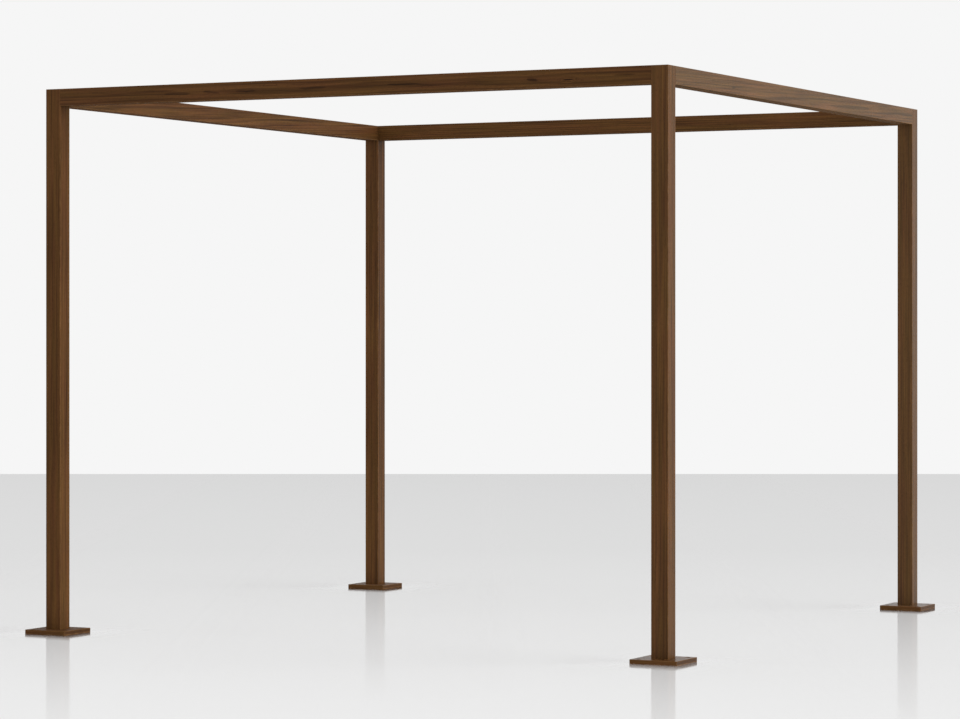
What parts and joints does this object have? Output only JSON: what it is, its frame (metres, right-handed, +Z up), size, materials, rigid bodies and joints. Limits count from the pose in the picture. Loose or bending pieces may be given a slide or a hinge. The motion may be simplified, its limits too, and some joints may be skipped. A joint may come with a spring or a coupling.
{
  "type": "pergola",
  "caption": "Free-standing square pergola with an open roof: square timber posts on foot plates, tied at the top by flush beams with hidden mortise-and-tenon corners.",
  "frame": {"origin": "middle of the plan on the ground, under the foot plates", "axes": "+Z up, front towards -Y, right-hand side towards +X"},
  "size_m": [3.132, 3.132, 2.405],
  "materials": {
    "post_timber": "dark brown hardwood, clear satin coat",
    "beam_timber": "dark brown hardwood, clear satin coat",
    "plate_timber": "dark brown hardwood, clear satin coat"
  },
  "bodies": {
    "root": {"front_left_post": "post_timber", "front_right_post": "post_timber", "back_left_post": "post_timber", "back_right_post": "post_timber", "front_beam": "beam_timber", "right_beam": "beam_timber", "back_beam": "beam_timber", "left_beam": "beam_timber", "front_left_foot_plate": "plate_timber", "front_right_foot_plate": "plate_timber", "back_left_foot_plate": "plate_timber", "back_right_foot_plate": "plate_timber"}
  },
  "joints": []
}
